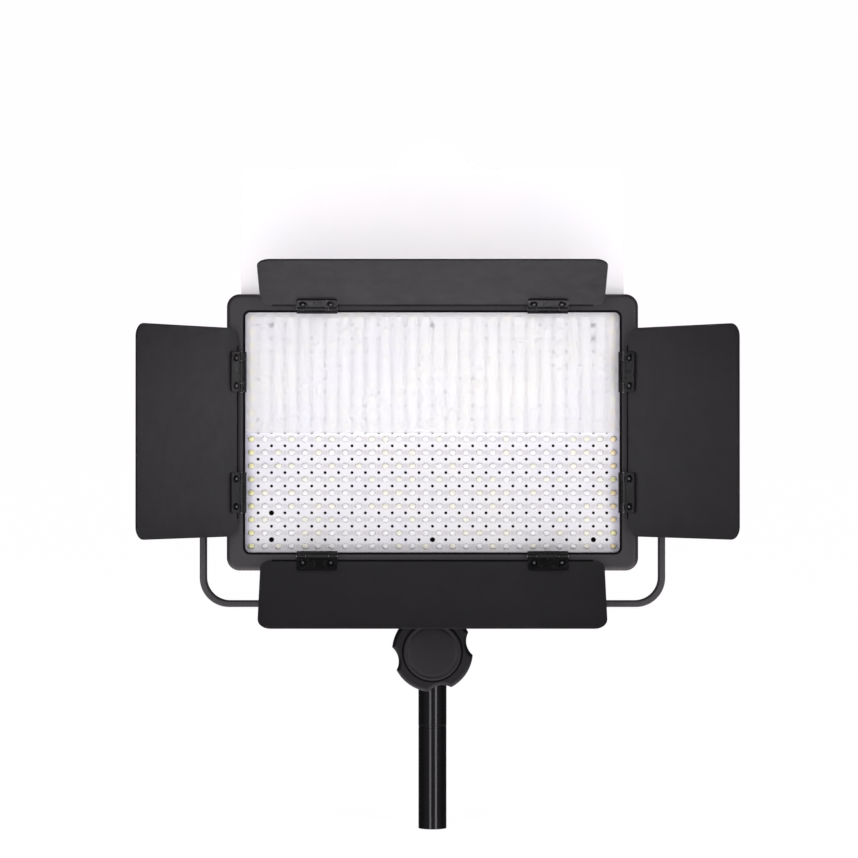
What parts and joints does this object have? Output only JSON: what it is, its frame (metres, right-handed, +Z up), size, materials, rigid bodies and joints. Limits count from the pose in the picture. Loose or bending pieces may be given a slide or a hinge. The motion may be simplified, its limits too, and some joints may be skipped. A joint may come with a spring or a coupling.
{
  "type": "led panel light",
  "caption": "Flat LED panel light with sliding diffuser and hinged barn doors, tilting in a yoke on a clamp socket and stand tube.",
  "frame": {"origin": "bottom centre of the stand's riser tube, where the stand goes on below", "axes": "+Z up along the tube, the light faces -Y, +X to the right of someone who looks at its front"},
  "size_m": [0.4701, 0.1933, 0.5625],
  "materials": {
    "tube_paint": "gloss",
    "bare_steel": "satin",
    "yoke_paint": "satin",
    "socket_casting": "satin",
    "brass": "satin",
    "knob_plastic": "satin",
    "cap_plastic": "satin",
    "frame_paint": "satin",
    "housing_paint": "satin",
    "white_board": "matte",
    "led_plastic": "gloss",
    "bare_aluminium": "satin",
    "circuit_board": "satin",
    "display_glass": "gloss",
    "panel_plastic": "matte",
    "opal_plastic": "satin",
    "dial_plastic": "satin",
    "switch_plastic": "satin",
    "button_plastic": "satin",
    "door_sheet": "matte",
    "hinge_steel": "satin",
    "pin_steel": "satin"
  },
  "bodies": {
    "stand_top": {"riser_tube": "tube_paint", "riser_spigot": "bare_steel"},
    "yoke": {"yoke_bar": "yoke_paint", "stand_socket": "socket_casting", "socket_bolt": "bare_steel"},
    "clamp_shoe": {"clamp_shoe": "brass"},
    "clamp_knob": {"clamp_knob": "knob_plastic", "clamp_screw": "bare_steel", "clamp_knob_cap": "cap_plastic"},
    "head": {"front_frame": "frame_paint", "rear_housing": "housing_paint", "led_board": "white_board", "led_array": "led_plastic", "heat_spreader": "bare_aluminium", "control_board": "circuit_board", "display_window": "display_glass", "control_panel": "panel_plastic", "dc_socket": "panel_plastic", "battery_plate_left": "panel_plastic", "battery_plate_right": "panel_plastic", "hinge_base_left_1": "hinge_steel", "hinge_base_left_2": "hinge_steel", "hinge_base_right_1": "hinge_steel", "hinge_base_right_2": "hinge_steel", "hinge_base_top_1": "hinge_steel", "hinge_base_top_2": "hinge_steel", "hinge_base_bottom_1": "hinge_steel", "hinge_base_bottom_2": "hinge_steel", "hinge_pin_left_1": "pin_steel", "hinge_pin_left_2": "pin_steel", "hinge_pin_right_1": "pin_steel", "hinge_pin_right_2": "pin_steel", "hinge_pin_top_1": "pin_steel", "hinge_pin_top_2": "pin_steel", "hinge_pin_bottom_1": "pin_steel", "hinge_pin_bottom_2": "pin_steel"},
    "tilt_washer_left": {"tilt_washer_left": "bare_steel"},
    "tilt_knob_left": {"tilt_knob_left": "knob_plastic"},
    "battery_latch_left": {"battery_latch_left": "button_plastic"},
    "tilt_washer_right": {"tilt_washer_right": "bare_steel"},
    "tilt_knob_right": {"tilt_knob_right": "knob_plastic"},
    "battery_latch_right": {"battery_latch_right": "button_plastic"},
    "diffuser": {"diffuser": "opal_plastic"},
    "dial_brightness": {"dial_brightness": "dial_plastic"},
    "dial_colour": {"dial_colour": "dial_plastic"},
    "power_switch": {"power_switch": "switch_plastic"},
    "button_mode": {"button_mode": "button_plastic"},
    "button_channel": {"button_channel": "button_plastic"},
    "door_left": {"door_left": "door_sheet", "hinge_leaf_left_1": "hinge_steel", "hinge_leaf_left_2": "hinge_steel"},
    "door_right": {"door_right": "door_sheet", "hinge_leaf_right_1": "hinge_steel", "hinge_leaf_right_2": "hinge_steel"},
    "door_top": {"door_top": "door_sheet", "hinge_leaf_top_1": "hinge_steel", "hinge_leaf_top_2": "hinge_steel"},
    "door_bottom": {"door_bottom": "door_sheet", "hinge_leaf_bottom_1": "hinge_steel", "hinge_leaf_bottom_2": "hinge_steel"}
  },
  "joints": [
    {"name": "pan", "type": "hinge", "parent": "stand_top", "child": "yoke", "pos_m": [0, 0, 0.083], "axis": [0, 0, 1], "continuous": true},
    {"name": "tilt", "type": "hinge", "parent": "yoke", "child": "head", "pos_m": [0, 0, 0.325], "axis": [-1, 0, 0], "range_deg": [-15, 90]},
    {"name": "clamp_advance", "type": "slide", "parent": "yoke", "child": "clamp_shoe", "axis": [0, -1, 0], "range_m": [0, 0.0038]},
    {"name": "clamp_turn", "type": "hinge", "parent": "clamp_shoe", "child": "clamp_knob", "pos_m": [0, 0, 0.1465], "axis": [0, -1, 0], "range_deg": [0, 1080]},
    {"name": "tilt_lock_advance_left", "type": "slide", "parent": "head", "child": "tilt_washer_left", "axis": [-1, 0, 0], "range_m": [0, 0.00305]},
    {"name": "tilt_lock_turn_left", "type": "hinge", "parent": "tilt_washer_left", "child": "tilt_knob_left", "pos_m": [-0.195, 0, 0.325], "axis": [-1, 0, 0], "range_deg": [0, 1080]},
    {"name": "tilt_lock_advance_right", "type": "slide", "parent": "head", "child": "tilt_washer_right", "axis": [1, 0, 0], "range_m": [0, 0.00305]},
    {"name": "tilt_lock_turn_right", "type": "hinge", "parent": "tilt_washer_right", "child": "tilt_knob_right", "pos_m": [0.195, 0, 0.325], "axis": [1, 0, 0], "range_deg": [0, 1080]},
    {"name": "door_left_swing", "type": "hinge", "parent": "head", "child": "door_left", "pos_m": [-0.1552, -0.033, 0.325], "axis": [0, 0, -1], "range_deg": [-120.3, 59.7]},
    {"name": "door_right_swing", "type": "hinge", "parent": "head", "child": "door_right", "pos_m": [0.1552, -0.033, 0.325], "axis": [0, 0, 1], "range_deg": [-124.3, 55.7]},
    {"name": "door_top_swing", "type": "hinge", "parent": "head", "child": "door_top", "pos_m": [0, -0.0352, 0.42545], "axis": [-1, 0, 0], "range_deg": [-116, 64]},
    {"name": "door_bottom_swing", "type": "hinge", "parent": "head", "child": "door_bottom", "pos_m": [0, -0.0352, 0.22455], "axis": [1, 0, 0], "range_deg": [-134, 46]},
    {"name": "diffuser_slide", "type": "slide", "parent": "head", "child": "diffuser", "axis": [0, 0, 1], "range_m": [-0.1015, 0.118]},
    {"name": "dial_brightness_turn", "type": "hinge", "parent": "head", "child": "dial_brightness", "pos_m": [-0.03, 0.0226, 0.281], "axis": [0, 1, 0], "range_deg": [-150, 150]},
    {"name": "dial_colour_turn", "type": "hinge", "parent": "head", "child": "dial_colour", "pos_m": [0.03, 0.0226, 0.281], "axis": [0, 1, 0], "range_deg": [-150, 150]},
    {"name": "power_rocker", "type": "hinge", "parent": "head", "child": "power_switch", "pos_m": [0, 0.0205, 0.272], "axis": [1, 0, 0], "range_deg": [0, 20]},
    {"name": "button_mode_press", "type": "slide", "parent": "head", "child": "button_mode", "axis": [0, -1, 0], "range_m": [0, 0.0008], "stiffness_N_per_m": 600, "springref_m": -0.001},
    {"name": "button_channel_press", "type": "slide", "parent": "head", "child": "button_channel", "axis": [0, -1, 0], "range_m": [0, 0.0008], "stiffness_N_per_m": 600, "springref_m": -0.001},
    {"name": "battery_latch_left_press", "type": "slide", "parent": "head", "child": "battery_latch_left", "axis": [0, 0, -1], "range_m": [0, 0.0025], "stiffness_N_per_m": 300, "springref_m": -0.002},
    {"name": "battery_latch_right_press", "type": "slide", "parent": "head", "child": "battery_latch_right", "axis": [0, 0, -1], "range_m": [0, 0.0025], "stiffness_N_per_m": 300, "springref_m": -0.002}
  ],
  "couplings": [
    {"joint": "clamp_advance", "follows": "clamp_turn", "m_per_rad": 0.00019894},
    {"joint": "tilt_lock_advance_left", "follows": "tilt_lock_turn_left", "m_per_rad": 0.00015915},
    {"joint": "tilt_lock_advance_right", "follows": "tilt_lock_turn_right", "m_per_rad": 0.00015915}
  ]
}
